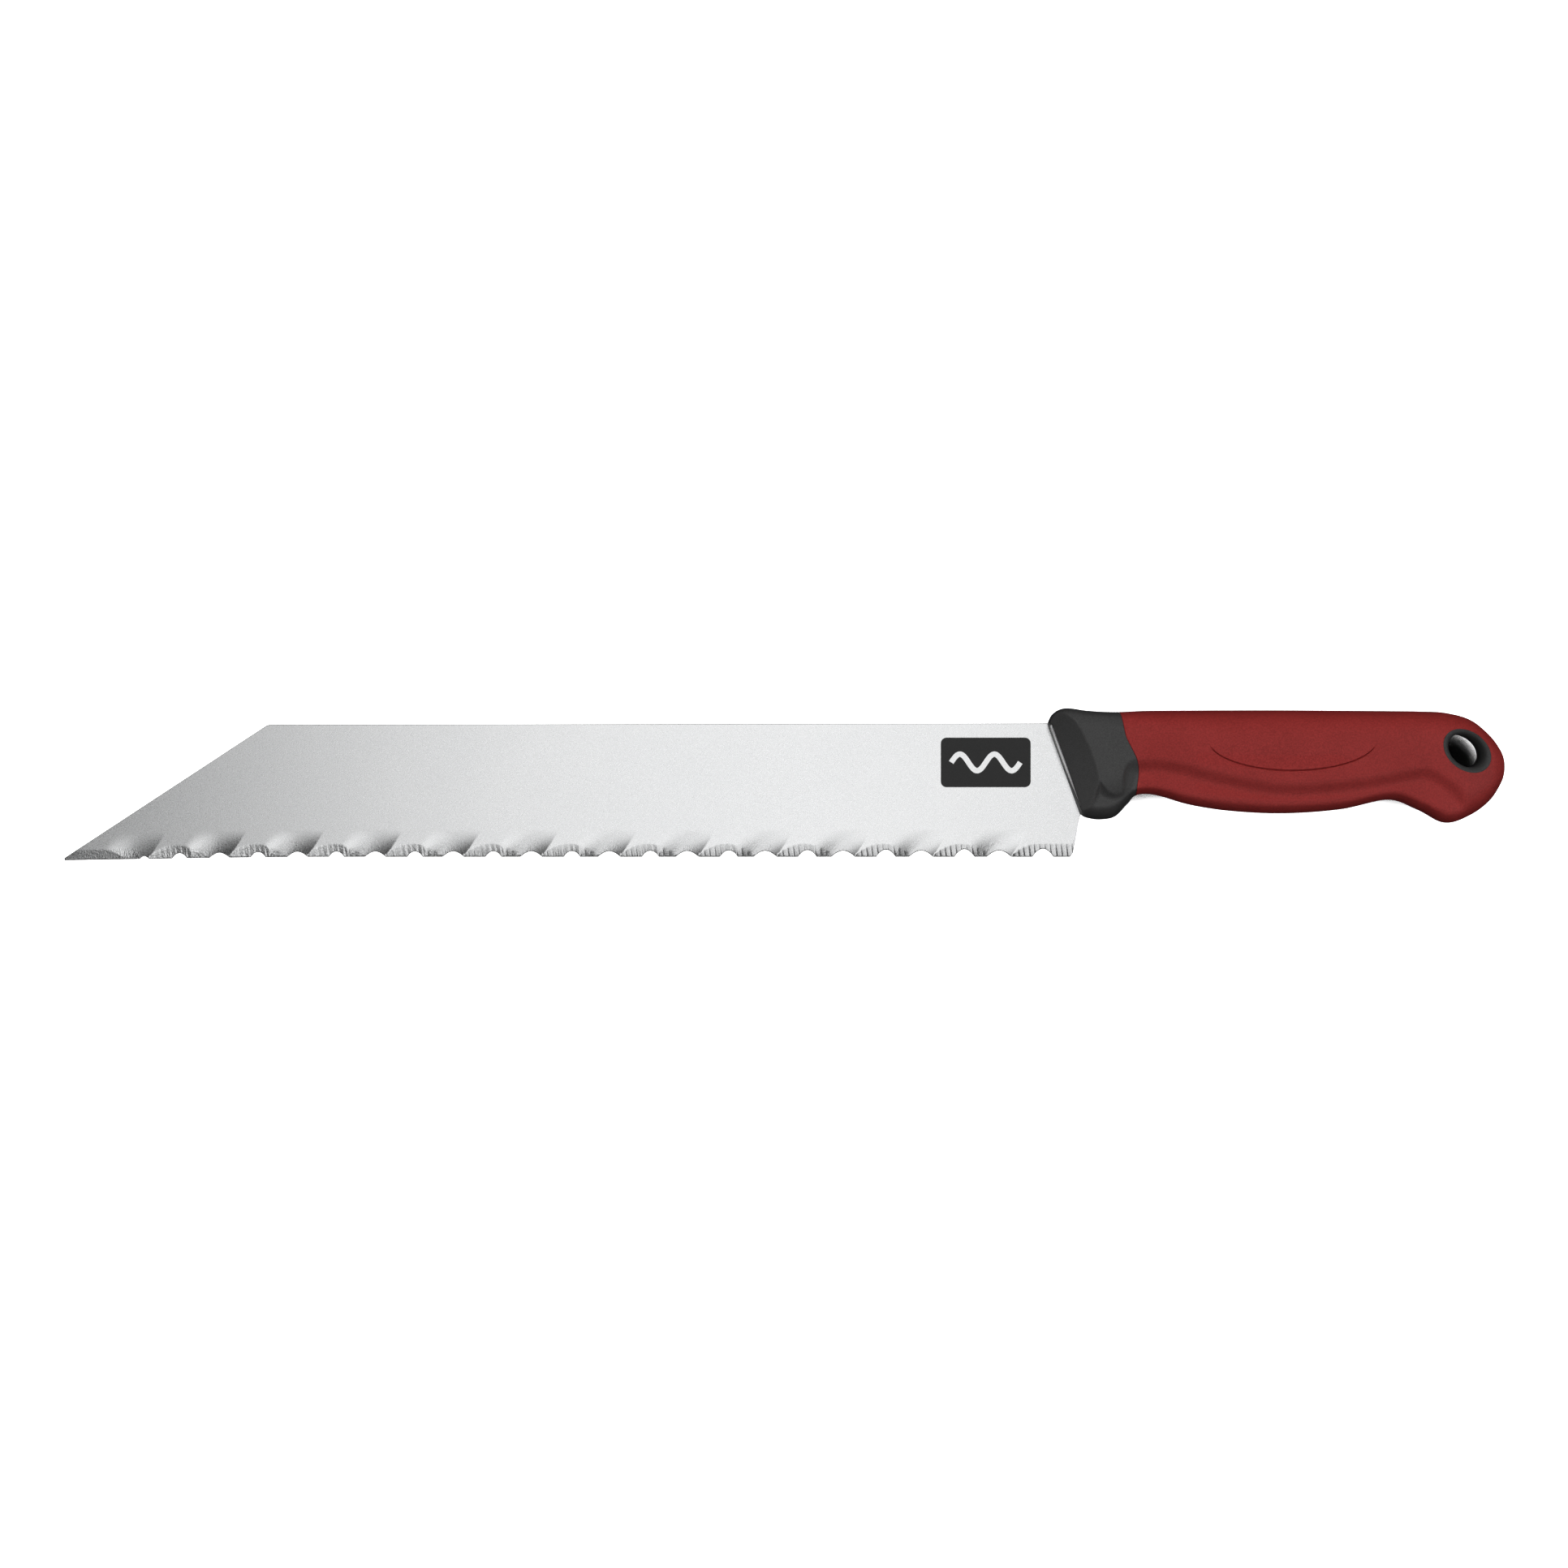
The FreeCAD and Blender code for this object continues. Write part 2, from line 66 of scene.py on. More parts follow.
# Blade outline: the edge dips to a blunt tip, the spine rises a little from the slanted end's corner.
EDGE_Y = TIP_LOW_Y + 1.0
EDGE_DIP_START_X = TIP_X + 70.0
EDGE_DIP_POWER = 1.4
TIP_HEIGHT = 0.7
NOSE_X = TIP_X + 56.6
NOSE_Y = SPINE_Y - 0.4
HEEL_X = TIP_X + 279.8
HEEL_TOP_X = HEEL_X + 2.7
HEEL_TOP_Y = EDGE_Y + 11.8
BLADE_END_X = HEEL_X + 10.0
HEEL_CHAMFER = (0.8, 1.2)
NOSE_ROUNDING = 0.5
SPINE_CHAMFER = 0.14

# Teeth along the cutting edge. A pair of sizes holds for the first tooth and the last one. The
# depths of arches and flutes and the steep share change only up to the sixth tooth.
PITCH = 21.84
TOOTH_COUNT = 12
FIRST_NOTCH_X = TIP_X + 32.0
NOTCH_WIDTH = (4.2, 5.9)
NOTCH_DEPTH = (1.4, 2.25)
NOTCH_POWER = (2.3, 1.8)
GULLET_OFFSET = (11.1, 9.5)
GULLET_WIDTH = (5.7, 6.8)
GULLET_DEPTH = (1.4, 1.8)
GULLET_POWER = 1.8
NICK_OFFSET = -9.8
NICK_WIDTH = 2.7
NICK_DEPTH = 0.8
NICK_SCOOP_STRENGTH = 0.55
ARCH_HEIGHT = 3.7
ARCH_DEPTH = (0.50, 0.38)
ARCH_HALF_WIDTH = 8.5
ARCH_SHIFT = -0.8
FLUTE_PITCH = 1.5
FLUTE_LEAN = 0.09
FLUTE_STEEP_SHARE = (0.22, 0.38)
FLUTE_DEPTH = (0.05, 0.12)
SCOOP_DEPTH = 0.80
SCOOP_STEEP_LENGTH = 6.5
SCOOP_SOFT_LENGTH = 8.0
SCOOP_HEIGHT = 7.6
SCOOP_LEAN = 0.66
TIP_BEVEL_HEIGHT = 2.9
TIP_BEVEL_END_X = TIP_X + 20.6
GROUND_HEIGHT = 8.0
GRIND_LIMIT = 2 * HALF_BLADE - 0.1
LIP_HEIGHT = 0.20
LIP_SLOPE = 0.35
COLUMN_STEP = 0.125
GRIT_SEED = 7
GRIT_DEPTH = 0.004
GRIT_EXTRA_NEAR_TIP = 0.010
GRIT_IN_SCOOPS = 0.007
GRIT_FADES_BY_TOOTH = 6
BOLD_FROM_TOOTH = 5


# ---------------------------------------------------------------- small helpers

def smooth_step(low, high, value):
    """A share that rises smoothly from 0 at low to 1 at high."""
    share = np.clip((value - low) / (high - low), 0.0, 1.0)
    return share * share * (3 - 2 * share)


def between(pair, share):
    """The value at a share of the way from the first of a pair to the second."""
    return pair[0] + (pair[1] - pair[0]) * share


def soft_min(first, second, width):
    """The smaller of two heights, with the corner between them rounded over width."""
    gap = np.clip((second - first) / (2 * width) + 0.5, 0.0, 1.0)
    return second * (1 - gap) + first * gap - width * gap * (1 - gap)


def through(points, places):
    """A smooth curve through points, read at places counted in points from the first."""
    points = np.asarray(points, dtype=float)
    padded = np.vstack([2 * points[:1] - points[1:2], points, 2 * points[-1:] - points[-2:-1]])
    places = np.clip(np.asarray(places, dtype=float), 0, len(points) - 1 - 1e-9)
    index = places.astype(int)
    share = (places - index)[:, None]
    before, start, end, after = [padded[index + step] for step in range(4)]
    return 0.5 * (
        2 * start + (end - before) * share
        + (2 * before - 5 * start + 4 * end - after) * share ** 2
        + (3 * start - before - 3 * end + after) * share ** 3)


def make_object(name, points, faces, material, sharp_angle=None):
    """A piece from points in millimetres, measured from the blade's mid-plane."""
    mesh = bpy.data.meshes.new(name)
    placed = (np.asarray(points) + np.array([0.0, 0.0, MID_HEIGHT])) * MM
    mesh.from_pydata(placed.tolist(), [], faces)
    mesh.validate()
    piece = bpy.data.objects.new(name, mesh)
    bpy.context.scene.collection.objects.link(piece)
    cleaned = bmesh.new()
    cleaned.from_mesh(mesh)
    bmesh.ops.remove_doubles(cleaned, verts=cleaned.verts, dist=1e-7)
    bmesh.ops.recalc_face_normals(cleaned, faces=cleaned.faces)
    cleaned.to_mesh(mesh)
    cleaned.free()
    mesh.shade_smooth()
    if sharp_angle is not None:
        mesh.set_sharp_from_angle(angle=math.radians(sharp_angle))
    mesh.materials.append(material)
    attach(piece, "root")
    return piece


def grid_faces(rows, columns, first=0, close_columns=False):
    """Quads between rows of equally many points."""
    faces = []
    last = columns if close_columns else columns - 1
    for row in range(rows - 1):
        for column in range(last):
            right = (column + 1) % columns
            here = first + row * columns
            faces.append((here + column, here + right, here + columns + right, here + columns + column))
    return faces


# ---------------------------------------------------------------- materials

class Nodes:
    """A material's node tree, with short calls to add and join nodes."""

    def __init__(self, name):
        self.material = bpy.data.materials.new(name)
        self.material.use_nodes = True
        self.tree = self.material.node_tree
        self.shader = self.tree.nodes["Principled BSDF"]
        place = self.add("ShaderNodeTexCoord")
        self.place = place.outputs["Object"]

    def add(self, kind, **values):
        node = self.tree.nodes.new(kind)
        for name, value in values.items():
            setattr(node, name, value)
        return node

    def join(self, output, socket):
        self.tree.links.new(output, socket)

    def noise(self, scale, detail=2.0, roughness=0.5, stretch=None):
        """Noise whose grains are about one over scale metres across."""
        node = self.add("ShaderNodeTexNoise")
        node.inputs["Scale"].default_value = scale
        node.inputs["Detail"].default_value = detail
        node.inputs["Roughness"].default_value = roughness
        source = self.place
        if stretch:
            mapping = self.add("ShaderNodeMapping")
            mapping.inputs["Scale"].default_value = stretch
            self.join(self.place, mapping.inputs["Vector"])
            source = mapping.outputs["Vector"]
        self.join(source, node.inputs["Vector"])
        return node.outputs["Fac"]

    def ramp(self, source, low, high, from_low=0.3, from_high=0.7):
        """A value that runs from low to high as source does."""
        node = self.add("ShaderNodeMapRange")
        node.inputs["From Min"].default_value = from_low
        node.inputs["From Max"].default_value = from_high
        node.inputs["To Min"].default_value = low
        node.inputs["To Max"].default_value = high
        self.join(source, node.inputs["Value"])
        return node.outputs["Result"]

    def blend(self, source, first, second, low=0.35, high=0.65):
        """A colour between two, as source runs from low to high."""
        node = self.add("ShaderNodeValToRGB")
        node.color_ramp.elements[0].position = low
        node.color_ramp.elements[0].color = (*first, 1.0)
        node.color_ramp.elements[1].position = high
        node.color_ramp.elements[1].color = (*second, 1.0)
        self.join(source, node.inputs["Fac"])
        return node.outputs["Color"]

    def bump(self, layers):
        """Bumps from pairs of source and height in metres, the first one lowest."""
        normal = None
        for source, height in layers:
            node = self.add("ShaderNodeBump")
            node.inputs["Strength"].default_value = 1.0
            node.inputs["Distance"].default_value = height
            self.join(source, node.inputs["Height"])
            if normal:
                self.join(normal, node.inputs["Normal"])
            normal = node.outputs["Normal"]
        self.join(normal, self.shader.inputs["Normal"])


def blade_steel():
    """Satin steel: fine even grain and faint cloudiness."""
    nodes = Nodes("blade_steel")
    grain = nodes.noise(3400, detail=2)
    cloud = nodes.noise(35, detail=4)
    mix = nodes.add("ShaderNodeMix", data_type="RGBA")
    mix.inputs["Factor"].default_value = 0.3
    nodes.join(nodes.blend(grain, (0.75, 0.755, 0.76), (0.89, 0.895, 0.90)), mix.inputs["A"])
    nodes.join(nodes.blend(cloud, (0.80, 0.81, 0.82), (0.86, 0.865, 0.87)), mix.inputs["B"])
    nodes.join(mix.outputs["Result"], nodes.shader.inputs["Base Color"])
    nodes.shader.inputs["Metallic"].default_value = 1.0
    nodes.join(nodes.ramp(grain, 0.25, 0.33), nodes.shader.inputs["Roughness"])
    nodes.bump([(grain, 0.000004)])
    return nodes.material


def black_plastic():
    """Stiff black plastic with a fine moulded grain."""
    nodes = Nodes("black_plastic")
    grain = nodes.noise(3600, detail=2)
    cloud = nodes.noise(120, detail=3)
    nodes.join(nodes.blend(grain, (0.022, 0.022, 0.022), (0.034, 0.034, 0.034)),
               nodes.shader.inputs["Base Color"])
    nodes.shader.inputs["Specular IOR Level"].default_value = 0.36
    nodes.join(nodes.ramp(cloud, 0.42, 0.48), nodes.shader.inputs["Roughness"])
    nodes.bump([(grain, 0.000012)])
    return nodes.material


def painted_highlight_edge():
    """The bead of the front part, in a bright metal finish that is a painted highlight along the black
    edge.
    """
    nodes = Nodes("painted_highlight_edge")
    grain = nodes.noise(3000, detail=2)
    # Painted highlight: bright grey metal colour, so the bead shines along the black front edge.
    nodes.join(nodes.blend(grain, (0.50, 0.50, 0.50), (0.68, 0.68, 0.68)),
               nodes.shader.inputs["Base Color"])
    nodes.shader.inputs["Metallic"].default_value = 1.0
    nodes.join(nodes.ramp(grain, 0.30, 0.40), nodes.shader.inputs["Roughness"])
    return nodes.material


def red_elastomer():
    """Soft red cover: matte, finely grained, a little uneven in colour."""
    nodes = Nodes("red_elastomer")
    grain = nodes.noise(2400, detail=2)
    cloud = nodes.noise(90, detail=4)
    mix = nodes.add("ShaderNodeMix", data_type="RGBA")
    mix.inputs["Factor"].default_value = 0.35
    nodes.join(nodes.blend(grain, (0.135, 0.011, 0.010), (0.215, 0.021, 0.019)), mix.inputs["A"])
    nodes.join(nodes.blend(cloud, (0.150, 0.0135, 0.0125), (0.190, 0.018, 0.017)), mix.inputs["B"])
    nodes.shader.inputs["Specular IOR Level"].default_value = 0.25
    nodes.join(mix.outputs["Result"], nodes.shader.inputs["Base Color"])
    nodes.join(nodes.ramp(grain, 0.56, 0.68), nodes.shader.inputs["Roughness"])
    nodes.bump([(grain, 0.00004)])
    return nodes.material


def print_ink():
    """Black ink printed on the blade."""
    nodes = Nodes("print_ink")
    grain = nodes.noise(3000, detail=2)
    nodes.join(nodes.blend(grain, (0.004, 0.004, 0.004), (0.009, 0.009, 0.009)),
               nodes.shader.inputs["Base Color"])
    nodes.join(nodes.ramp(grain, 0.40, 0.50), nodes.shader.inputs["Roughness"])
    return nodes.material


def plain_floor():
    """White paper with a painted glow, so it shows overexposed; painted shade takes its colour and its
    glow down to dark where the saw closes it in.
    """
    nodes = Nodes("floor_paper")
    openness = nodes.add("ShaderNodeAmbientOcclusion", samples=20)
    openness.inputs["Distance"].default_value = 0.018
    # Painted shade: this occlusion mask darkens the floor's colour under the saw and inside the eye, and
    # dims the painted glow there.
    painted_light_share = nodes.ramp(openness.outputs["AO"], 0.0, 1.0, from_low=0.40, from_high=0.50)
    nodes.join(nodes.blend(painted_light_share, (0.12, 0.12, 0.12), (0.94, 0.94, 0.94), low=0.0, high=1.0),
               nodes.shader.inputs["Base Color"])
    # Painted glow: the floor gives off light though it is no lamp, fading out with the painted shade.
    nodes.join(nodes.ramp(painted_light_share, 0.0, 1.6, from_low=0.0, from_high=1.0),
               nodes.shader.inputs["Emission Strength"])
    nodes.shader.inputs["Emission Color"].default_value = (1.0, 1.0, 1.0, 1.0)
    nodes.shader.inputs["Roughness"].default_value = 0.9
    nodes.shader.inputs["Specular IOR Level"].default_value = 0.2
    return nodes.material


# ---------------------------------------------------------------- blade

def along_teeth(x, first_and_last, power=1.0):
    """A size that changes from the first tooth to the last: evenly, or later with a higher power."""
    share = np.clip((x - FIRST_NOTCH_X) / (PITCH * (TOOTH_COUNT - 1)), 0.0, 1.0)
    return between(first_and_last, share ** power)


def mixed(fine_and_bold, tooth):
    """A size of the flutes: fine at the first tooth, bold from the sixth on."""
    return between(fine_and_bold, min(1.0, tooth / BOLD_FROM_TOOTH))


def gullets():
    """Middle, width, depth and scoop strength of each gullet, the small first nick included."""
    found = [(FIRST_NOTCH_X + NICK_OFFSET, NICK_WIDTH, NICK_DEPTH, NICK_SCOOP_STRENGTH)]
    for tooth in range(TOOTH_COUNT - 1):
        notch_x = FIRST_NOTCH_X + tooth * PITCH
        sizes = [along_teeth(notch_x, pair) for pair in (GULLET_OFFSET, GULLET_WIDTH, GULLET_DEPTH)]
        found.append((notch_x + sizes[0], sizes[1], sizes[2], 1.0))
    return found


def edge_height(x):
    """The cutting edge before it is notched: straight, falling away a little to the tip."""
    towards_tip = np.clip((EDGE_DIP_START_X - x) / (EDGE_DIP_START_X - TIP_X), 0.0, 1.0)
    return EDGE_Y - (EDGE_Y - TIP_LOW_Y) * towards_tip ** EDGE_DIP_POWER


def hump(offset, width, depth, power):
    """A rounded notch: its depth at an offset from its middle."""
    return depth * np.clip(1 - np.abs(2 * offset / width) ** power, 0.0, 1.0)


def notch_depth(x):
    """How far the notches and gullets cut up into the edge."""
    depth = np.zeros_like(x)
    for tooth in range(TOOTH_COUNT):
        middle = FIRST_NOTCH_X + tooth * PITCH
        width, deep = [along_teeth(middle, pair, 2.0) for pair in (NOTCH_WIDTH, NOTCH_DEPTH)]
        power = between(NOTCH_POWER, (tooth / TOOTH_COUNT) ** 2)
        depth = np.maximum(depth, hump(x - middle, width, deep, power))
    for middle, width, deep, _ in gullets():
        depth = np.maximum(depth, hump(x - middle, width, deep, GULLET_POWER))
    return depth


def ground_depth(x, rise, above_notch, grit):
    """How much is ground off the blade's face, rise above the cutting edge."""
    arches = np.zeros_like(x)
    flutes = np.zeros_like(x)
    for tooth in range(TOOTH_COUNT):
        middle = FIRST_NOTCH_X + tooth * PITCH + ARCH_SHIFT
        arches = np.maximum(arches, arch_depth(x - middle, rise, tooth))
        flutes = np.maximum(flutes, flute_depth(x - middle, rise, tooth))
    tip_bevel = ARCH_DEPTH[0] * np.clip(1 - rise / TIP_BEVEL_HEIGHT, 0.0, 1.0)
    arches = np.maximum(arches, tip_bevel * (1 - smooth_step(-0.5, 0.5, x - TIP_BEVEL_END_X)))
    scoops = np.zeros_like(x)
    for middle, width, _, strength in gullets():
        scoops = np.maximum(scoops, strength * scoop_depth(x - middle - width / 2, rise))
    fine = 1 - smooth_step(FIRST_NOTCH_X, FIRST_NOTCH_X + GRIT_FADES_BY_TOOTH * PITCH, x)
    roughness = (GRIT_DEPTH + GRIT_EXTRA_NEAR_TIP * fine) * smooth_step(0.0, 0.03, arches)
    roughness = roughness + GRIT_IN_SCOOPS * smooth_step(0.05, 0.5, scoops)
    lip = LIP_SLOPE * np.clip(LIP_HEIGHT - above_notch, 0.0, None)
    return np.clip(np.maximum(arches, scoops) + flutes + roughness * grit + lip, 0.0, GRIND_LIMIT)


def arch_crown(offset, tooth):
    """An arch's height at an offset from its top, as a share. The last one runs on to the heel."""
    if tooth == TOOTH_COUNT - 1:
        offset = np.minimum(offset, 0.0)
    return np.clip(1 - (offset / ARCH_HALF_WIDTH) ** 2, 0.0, 1.0)


def arch_depth(offset, rise, tooth):
    """A shallow arched bevel, deepest at the edge."""
    share = np.clip(arch_crown(offset, tooth) - rise / ARCH_HEIGHT, 0.0, 1.0)
    return mixed(ARCH_DEPTH, tooth) * share


def flute_depth(offset, rise, tooth):
    """The flutes of one arch: a steep flank, wider towards the edge, and a gentle one back."""
    leaned = (offset + FLUTE_LEAN * rise) / FLUTE_PITCH
    number = np.floor(leaned)
    phase = leaned - number
    height = ARCH_HEIGHT * np.clip(arch_crown((number + 0.3) * FLUTE_PITCH, tooth), 0.05, 1.0)
    within = (offset > -ARCH_HALF_WIDTH) & ((offset < ARCH_HALF_WIDTH) | (tooth == TOOTH_COUNT - 1))
    strength = np.clip(1.04 - rise / height, 0.0, 1.0) * within
    steep = mixed(FLUTE_STEEP_SHARE, tooth) * (1 + 0.25 * np.sin(number * 2.4 + tooth * 1.7))
    steep = steep * (0.45 + 0.55 * strength)
    flank = np.where(phase < steep, phase / steep, (1 - phase) / (1 - steep))
    return mixed(FLUTE_DEPTH, tooth) * strength ** 0.7 * flank


def scoop_depth(beyond, rise):
    """A hollow over a gullet: steep at a crisp leaning ridge on its right, long and soft on its left."""
    before_ridge = SCOOP_LEAN * rise - 0.1 - beyond
    steep = np.clip(before_ridge / SCOOP_STEEP_LENGTH, 0.0, 1.0)
    soft = np.clip((before_ridge - SCOOP_STEEP_LENGTH) / SCOOP_SOFT_LENGTH, 0.0, 1.0)
    across = (1 - (1 - steep) ** 1.7) * np.cos(soft * math.pi / 2) ** 2
    return SCOOP_DEPTH * across * np.clip(1 - rise / SCOOP_HEIGHT, 0.0, 1.0) ** 1.2


def blade_columns():
    """Places along the blade: close together over the teeth, wider apart inside the handle."""
    fine = np.arange(TIP_X + 0.1, HEEL_TOP_X, COLUMN_STEP)
    return np.concatenate([[TIP_X], fine, np.linspace(HEEL_TOP_X, BLADE_END_X, 6)])


def make_blade(material):
    """The plate: rows of points rise from the edge over the ground face, then go round the back."""
    x = blade_columns()
    nominal = edge_height(x)
    behind = np.interp(x, [HEEL_X, HEEL_X + HEEL_CHAMFER[0], HEEL_TOP_X, BLADE_END_X],
                       [EDGE_Y, EDGE_Y + HEEL_CHAMFER[1], HEEL_TOP_Y, HEEL_TOP_Y + 4.0])
    low = np.where(x > HEEL_X, behind, nominal + notch_depth(x))
    foot = np.where(x > HEEL_X, low, nominal)
    slant = TIP_LOW_Y + TIP_HEIGHT + (x - TIP_X) * (NOSE_Y - TIP_LOW_Y - TIP_HEIGHT) / (NOSE_X - TIP_X)
    spine = NOSE_Y + (SPINE_Y - NOSE_Y) * (x - NOSE_X) / (HEEL_X - NOSE_X)
    high = soft_min(slant, np.minimum(spine, SPINE_Y), NOSE_ROUNDING)

    rises = np.concatenate([[0.0, 0.08, 0.18, 0.32], np.arange(0.5, GROUND_HEIGHT + 0.1, 0.22)])
    share = np.clip((high - foot - 0.2) / GROUND_HEIGHT, 0.0, 1.0)
    generator = np.random.default_rng(GRIT_SEED)
    rows = []
    for rise in rises:
        y = foot + rise * share + (low - foot) * np.clip(1 - rise / 9.0, 0.0, 1.0) ** 2
        y = np.maximum(y, low + 0.001 * rise)
        grit = generator.normal(size=len(x))
        z = HALF_BLADE - ground_depth(x, y - nominal, y - low, grit)
        rows.append(np.stack([x, y, z], axis=1))
    shoulder = np.stack([x, np.maximum(high - SPINE_CHAMFER, rows[-1][:, 1] + 0.01),
                         np.full_like(x, HALF_BLADE)], axis=1)
    spine_edge = np.stack([x, np.maximum(high, rows[-1][:, 1] + 0.02),
                           np.full_like(x, HALF_BLADE - SPINE_CHAMFER)], axis=1)
    back_high = spine_edge * [1, 1, 0] - [0, 0, HALF_BLADE]
    back_low = np.stack([x, low, np.full_like(x, -HALF_BLADE)], axis=1)
    rows += [shoulder, spine_edge, back_high, back_low]
    points = np.concatenate(rows)
    columns = len(x)
    faces = grid_faces(len(rows), columns)
    last = (len(rows) - 1) * columns
    for column in range(columns - 1):
        faces.append((last + column, last + column + 1, column + 1, column))
    for column in (0, columns - 1):
        faces.append(tuple(row * columns + column for row in range(len(rows))))
    return make_object("blade_plate", points, faces, material, sharp_angle=35)


# ---------------------------------------------------------------- handle

# Sections of the handle from the front to the butt: the point on its upper outline, the point on
# its lower outline, the half thickness and how square the section is above and below.
STATIONS = [
    ((73.2, 16.7), (82.3, -8.5), 11.0, 6.5, 2.8),
    ((75.0, 19.6), (84.2, -9.4), 11.0, 6.5, 2.8),
    ((78.0, 21.05), (87.8, -9.9), 11.1, 6.5, 2.8),
    ((83.5, 20.4), (91.9, -9.1), 11.1, 6.5, 2.8),
    ((88.4, 20.05), (95.1, -5.9), 11.2, 6.0, 3.0),
    ((92.9, 20.0), (97.5, -3.3), 11.3, 5.0, 3.2),
    ((99.0, 20.3), (101.0, -2.8), 11.4, 4.2, 3.2),
    ((105.0, 20.4), (105.5, -3.6), 11.5, 3.7, 3.2),
    ((113.0, 20.45), (113.0, -5.8), 11.6, 3.4, 3.2),
    ((124.0, 20.5), (124.0, -7.5), 11.6, 3.2, 3.2),
    ((138.6, 20.5), (138.6, -8.2), 11.6, 3.2, 3.2),
    ((154.4, 20.4), (154.4, -7.1), 11.6, 3.2, 3.2),
    ((168.0, 20.3), (168.0, -4.4), 11.5, 3.2, 3.2),
    ((176.5, 20.2), (176.5, -7.2), 11.3, 3.2, 3.2),
    ((183.8, 19.8), (183.8, -10.8), 11.0, 3.0, 3.0),
    ((190.6, 17.9), (190.6, -8.7), 10.2, 2.8, 2.8),
    ((195.8, 13.8), (195.8, -4.9), 8.7, 2.6, 2.6),
    ((198.8, 9.9), (198.8, -0.6), 6.4, 2.4, 2.4),
    ((199.9, 7.2), (199.9, 2.3), 4.0, 2.2, 2.2),
    ((BUTT_X, 4.8), (BUTT_X, 4.6), 0.4, 2.0, 2.0),
]
JOINT_STATION = 5
JOINT_EDGE_BREAK = 0.15
POINTS_PER_SIDE = 130
SIDE_ALLOWANCE = 0.15

# The line between black and red swells backwards at mid-height.
JOINT_SWELL = 1.95
JOINT_SWELL_Y = 5.2
JOINT_SWELL_HALF = 8.6
JOINT_SWELL_REACH = 1.3

# The upper edge of the step down to the finger guard and the belly: crisp in front, soft behind.
STEP_LINE = [
    (79.0, -14.0), (82.6, -6.5), (84.8, -2.6), (86.6, 0.1), (87.5, 0.5), (88.4, -0.4), (89.8, -1.6),
    (91.5, -1.9), (92.7, -1.2), (93.2, 1.0), (93.7, 3.7), (95.0, 5.8), (97.6, 7.0), (102.0, 7.7),
    (106.0, 7.4), (111.0, 6.4), (121.0, 3.9), (136.4, 1.2), (150.0, 1.6), (163.5, 3.2),
    (172.0, 4.8), (178.5, 5.2), (185.0, 1.6), (190.0, -3.2), (197.0, -12.0),
]
STEP_DROP = 2.3
STEP_WIDTH = (2.3, 4.6)
STEP_CRISPNESS = 1.25
STEP_SOFTENS_X = (94.0, 101.0)
STEP_WIDENS_X = (92.0, 101.0)
STEP_ROUNDING = (0.15, 0.80)

# Front facet: its ridge line, and how steeply it falls towards the blade. Below it, the front wall
# leans back: shares of the wall's height and of its lean.
RIDGE_TOP = (78.1, 20.7)
RIDGE_LOW = (86.9, 0.2)
RIDGE_BOW = 1.5
RIDGE_HEIGHT = 11.0
FACET_SLOPE = 0.78
FACET_LOWEST = 0.9
FACET_ROUNDING = 0.10
WALL_FOOT = 0.8
WALL_LEAN = 0.4
WALL_RINGS = ((0.0, 0.0), (0.35, 0.30), (0.70, 0.62), (0.92, 0.86))

# The bead along the facet's front edge: where it starts, thins and ends, as shares of the edge.
BEAD_RADIUS = 0.58
BEAD_FLATNESS = 0.3
BEAD_SETBACK = 0.6
BEAD_PROUD = 0.08
BEAD_START = 0.01
BEAD_THINS = 0.35
BEAD_END = 0.90

# The thumb pad's oval and the crease along its lower edge, then the oval hanging eye.
PAD_CENTRE = (140.2, 12.3)
PAD_HALF = (23.3, 8.6)
CREASE_DEPTH = 0.5
CREASE_HALF_WIDTH = 0.27

EYE_CENTRE = np.array([188.6, 9.15])
EYE_TURN = math.radians(-34.4)
EYE_HOLE = np.array([5.6, 4.1])
EYE_RING = np.array([7.35, 5.4])


def step_distance(x, y):
    """How far each point is above the step's upper edge, negative below it."""
    line = through(STEP_LINE, np.linspace(0, len(STEP_LINE) - 1, 6 * len(STEP_LINE)))
    best = np.full(x.shape, 1e9)
    signed = np.zeros(x.shape)
    for start, end in zip(line[:-1], line[1:]):
        run = end - start
        share = np.clip(((x - start[0]) * run[0] + (y - start[1]) * run[1]) / (run @ run), 0.0, 1.0)
        away_x = x - start[0] - share * run[0]
        away_y = y - start[1] - share * run[1]
        distance = np.hypot(away_x, away_y)
        side = np.where(run[0] * away_y - run[1] * away_x >= 0, 1.0, -1.0)
        signed = np.where(distance < best, side * distance, signed)
        best = np.minimum(best, distance)
    return signed


def level(x, y, half):
    """The height of the handle's side, before its edges are rounded."""
    softness = smooth_step(*STEP_SOFTENS_X, x)
    width = between(STEP_WIDTH, smooth_step(*STEP_WIDENS_X, x))
    below = np.clip(-step_distance(x, y) / width, 0.0, 1.0)
    crisp = 1 - (1 - below) ** STEP_CRISPNESS
    soft = below * below * (3 - 2 * below)
    return half - STEP_DROP * (crisp * (1 - softness) + soft * softness)


def facet_height(x, y):
    """The sloping front facet's height, large behind its ridge."""
    along = (RIDGE_TOP[1] - y) / (RIDGE_TOP[1] - RIDGE_LOW[1])
    ridge_x = RIDGE_TOP[0] + (RIDGE_LOW[0] - RIDGE_TOP[0]) * along
    ridge_x = ridge_x + RIDGE_BOW * 4 * along * (1 - along) * (along > 0)
    return RIDGE_HEIGHT + (x - ridge_x) * FACET_SLOPE


def crease_line(x):
    """The lower edge of the oval thumb pad."""
    across = np.clip((x - PAD_CENTRE[0]) / PAD_HALF[0], -0.985, 0.985)
    return PAD_CENTRE[1] - PAD_HALF[1] * np.sqrt(1 - across ** 2)


